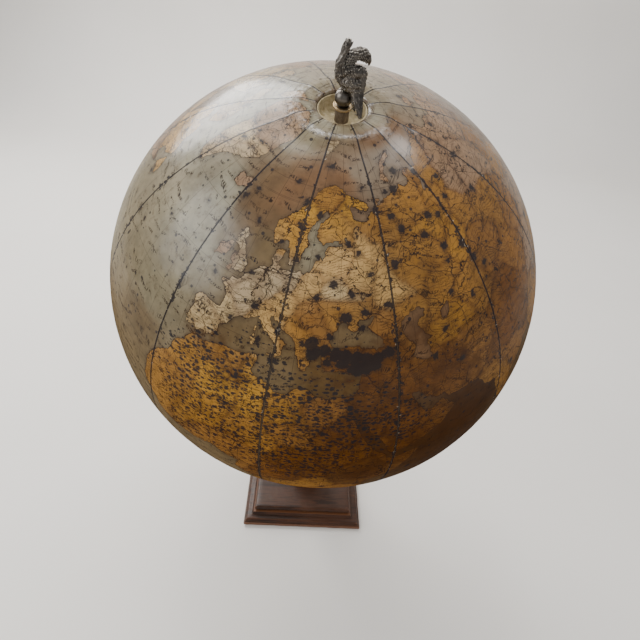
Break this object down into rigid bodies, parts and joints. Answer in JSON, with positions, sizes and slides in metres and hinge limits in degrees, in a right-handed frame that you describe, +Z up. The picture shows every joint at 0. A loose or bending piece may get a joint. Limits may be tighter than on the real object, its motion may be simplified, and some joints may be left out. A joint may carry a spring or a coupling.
{
  "type": "terrestrial globe",
  "caption": "Antique inclined terrestrial globe on a turned column and moulded square plinth, with a cast eagle finial over a polar recess.",
  "frame": {"origin": "centre of the plinth's underside, on the surface that the globe stands on", "axes": "+Z up; the globe's axis leans 23.5 degrees from +Z towards -Y, the front; +X to the right seen from the front"},
  "size_m": [0.3048, 0.3048, 0.5083],
  "materials": {
    "map_paper": "satin",
    "pasteboard": "matte",
    "raw_wood": "matte",
    "tube_wood": "satin",
    "plaster": "matte",
    "walnut": "satin",
    "brass": "satin",
    "bronze": "satin",
    "steel": "satin",
    "cast_iron": "matte",
    "baize": "matte"
  },
  "bodies": {
    "stand": {"felt_pad": "baize", "ballast_plate": "cast_iron", "ballast_screws": "steel", "plinth_base": "walnut", "plinth_cap": "walnut", "column_bolt": "steel", "column_washer": "steel", "column": "walnut", "ferrule": "brass", "rod_knuckle": "brass", "knuckle_screw": "steel", "axis_rod": "steel", "south_collar": "brass", "collar_screw": "steel", "thrust_washer": "steel"},
    "globe": {"shell_south": "pasteboard", "shell_north": "pasteboard", "equator_hoop": "pasteboard", "south_hub": "raw_wood", "north_hub": "raw_wood", "axis_tube": "tube_wood", "south_bush": "brass", "north_bush": "brass", "polar_cup": "plaster", "gore_01": "map_paper", "gore_02": "map_paper", "gore_03": "map_paper", "gore_04": "map_paper", "gore_05": "map_paper", "gore_06": "map_paper", "gore_07": "map_paper", "gore_08": "map_paper", "gore_09": "map_paper", "gore_10": "map_paper", "gore_11": "map_paper", "gore_12": "map_paper"},
    "finial_washer": {"finial_washer": "brass"},
    "finial": {"finial_ball": "bronze", "eagle": "bronze"}
  },
  "joints": [
    {"name": "globe_spin", "type": "hinge", "parent": "stand", "child": "globe", "pos_m": [0, -0.07297, 0.338], "axis": [0, -0.3987, 0.9171], "continuous": true},
    {"name": "finial_lift", "type": "slide", "parent": "stand", "child": "finial_washer", "axis": [0, -0.3987, 0.9171], "range_m": [0, 0.0055]},
    {"name": "finial_unscrew", "type": "hinge", "parent": "finial_washer", "child": "finial", "pos_m": [0, -0.07297, 0.338], "axis": [0, -0.3987, 0.9171], "range_deg": [0, 2700]}
  ],
  "couplings": [
    {"joint": "finial_lift", "follows": "finial_unscrew", "m_per_rad": 0.00011141}
  ]
}
